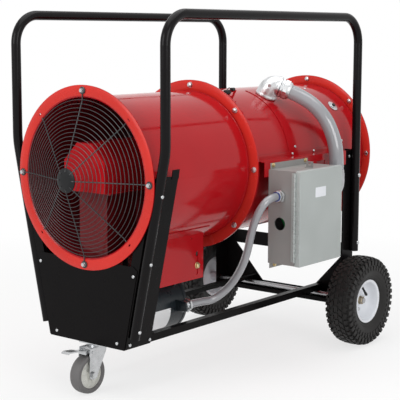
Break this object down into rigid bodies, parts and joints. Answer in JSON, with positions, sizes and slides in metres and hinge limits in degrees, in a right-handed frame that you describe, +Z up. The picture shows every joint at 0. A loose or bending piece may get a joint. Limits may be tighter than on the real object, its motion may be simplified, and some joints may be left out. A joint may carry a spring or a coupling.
{
  "type": "portable forced air heater",
  "caption": "Wheeled electric forced air heater: round fan and heater duct in a tube frame, belt-driven fan, side control box and flexible conduits.",
  "frame": {"origin": "on the floor under the middle of the object's length and width", "axes": "+X to the right seen from the guarded inlet (the control box side), +Y from the inlet to the outlet, +Z up"},
  "size_m": [0.696, 1.095, 0.9817],
  "materials": {
    "black_paint": "satin black paint",
    "duct_red": "gloss red enamel",
    "hood_red": "gloss red enamel",
    "guard_dark": "dark painted wire",
    "zinc": "bright zinc plate",
    "steel": "bare steel",
    "element_sheath": "dark heat-resisting sheath",
    "cast_iron": "grey iron",
    "fan_metal": "cast aluminium",
    "box_grey": "light grey enamel",
    "door_grey": "light grey enamel",
    "black_plastic": "black moulding",
    "terminal_white": "off-white moulding",
    "green_wire": "green insulation",
    "conduit_grey": "grey sheath",
    "belt_rubber": "black belt",
    "rim_white": "white enamel",
    "tyre_black": "black tyre",
    "caster_rubber": "grey tread"
  },
  "bodies": {
    "chassis": {"hoop_right": "black_paint", "hoop_left": "black_paint", "front_panel": "black_paint", "side_plate_right": "black_paint", "side_plate_left": "black_paint", "rear_panel": "black_paint", "rail_right": "black_paint", "rail_left": "black_paint", "wheel_axle": "steel", "axle_collars": "zinc", "frame_screws": "zinc", "fan_housing": "duct_red", "inlet_guard": "guard_dark", "guard_bolts": "zinc", "drive_hood": "hood_red", "bearing_base": "duct_red", "bearing_blocks": "black_paint", "motor_skirts": "duct_red", "motor_plate": "duct_red", "motor_shell": "black_paint", "motor_end_bells": "black_paint", "motor_bolts": "zinc", "motor_conduit_box": "black_paint", "heater_casing": "duct_red", "access_cover": "duct_red", "element_rack": "steel", "heating_elements": "element_sheath", "outlet_guard": "guard_dark", "flange_bolts": "zinc", "limit_bracket": "duct_red", "limit_switch": "black_plastic", "reset_washer": "zinc", "box_bracket": "duct_red", "control_box": "box_grey", "box_hinge": "zinc", "contactor": "black_plastic", "terminal_block": "terminal_white", "ground_wire": "green_wire", "elbow_fitting": "zinc", "box_side_connector": "zinc", "box_rear_connector": "zinc", "motor_connector": "zinc", "power_conduit": "conduit_grey", "motor_conduit": "conduit_grey", "v_belt": "belt_rubber", "caster_plate": "zinc"},
    "fan_rotor": {"fan_shaft": "steel", "impeller": "fan_metal", "fan_sheave": "cast_iron"},
    "motor_rotor": {"motor_shaft": "steel", "motor_sheave": "cast_iron"},
    "door": {"box_door": "door_grey"},
    "right_wheel": {"wheel_right": "rim_white", "tyre_right": "tyre_black"},
    "left_wheel": {"wheel_left": "rim_white", "tyre_left": "tyre_black"},
    "caster_swivel": {"caster_fork": "zinc"},
    "caster_roller": {"caster_wheel": "caster_rubber"},
    "caster_pedal": {"caster_brake": "zinc"},
    "reset_plunger": {"reset_button": "black_plastic"}
  },
  "joints": [
    {"name": "fan_spin", "type": "hinge", "parent": "chassis", "child": "fan_rotor", "pos_m": [0, -0.2725, 0.56], "axis": [0, 1, 0], "continuous": true},
    {"name": "motor_spin", "type": "hinge", "parent": "chassis", "child": "motor_rotor", "pos_m": [0, -0.3625, 0.191], "axis": [0, 1, 0], "continuous": true},
    {"name": "door_hinge", "type": "hinge", "parent": "chassis", "child": "door", "pos_m": [0.3375, -0.0263, 0.433], "axis": [0, 0, -1], "range_deg": [0, 120]},
    {"name": "wheel_right_spin", "type": "hinge", "parent": "chassis", "child": "right_wheel", "pos_m": [0.288, 0.3995, 0.1335], "axis": [1, 0, 0], "continuous": true},
    {"name": "wheel_left_spin", "type": "hinge", "parent": "chassis", "child": "left_wheel", "pos_m": [-0.288, 0.3995, 0.1335], "axis": [1, 0, 0], "continuous": true},
    {"name": "caster_swivel_turn", "type": "hinge", "parent": "chassis", "child": "caster_swivel", "pos_m": [0, -0.4325, 0.12], "axis": [0, 0, 1], "continuous": true},
    {"name": "caster_wheel_spin", "type": "hinge", "parent": "caster_swivel", "child": "caster_roller", "pos_m": [0, -0.4675, 0.051], "axis": [1, 0, 0], "continuous": true},
    {"name": "caster_brake_press", "type": "hinge", "parent": "caster_swivel", "child": "caster_pedal", "pos_m": [0, -0.4685, 0.11], "axis": [1, 0, 0], "range_deg": [0, 12]},
    {"name": "reset_press", "type": "slide", "parent": "chassis", "child": "reset_plunger", "axis": [-0.7108, 0, -0.7034], "range_m": [0, 0.0025], "stiffness_N_per_m": 300}
  ],
  "couplings": [
    {"joint": "motor_spin", "follows": "fan_spin", "ratio": 1.1429}
  ]
}
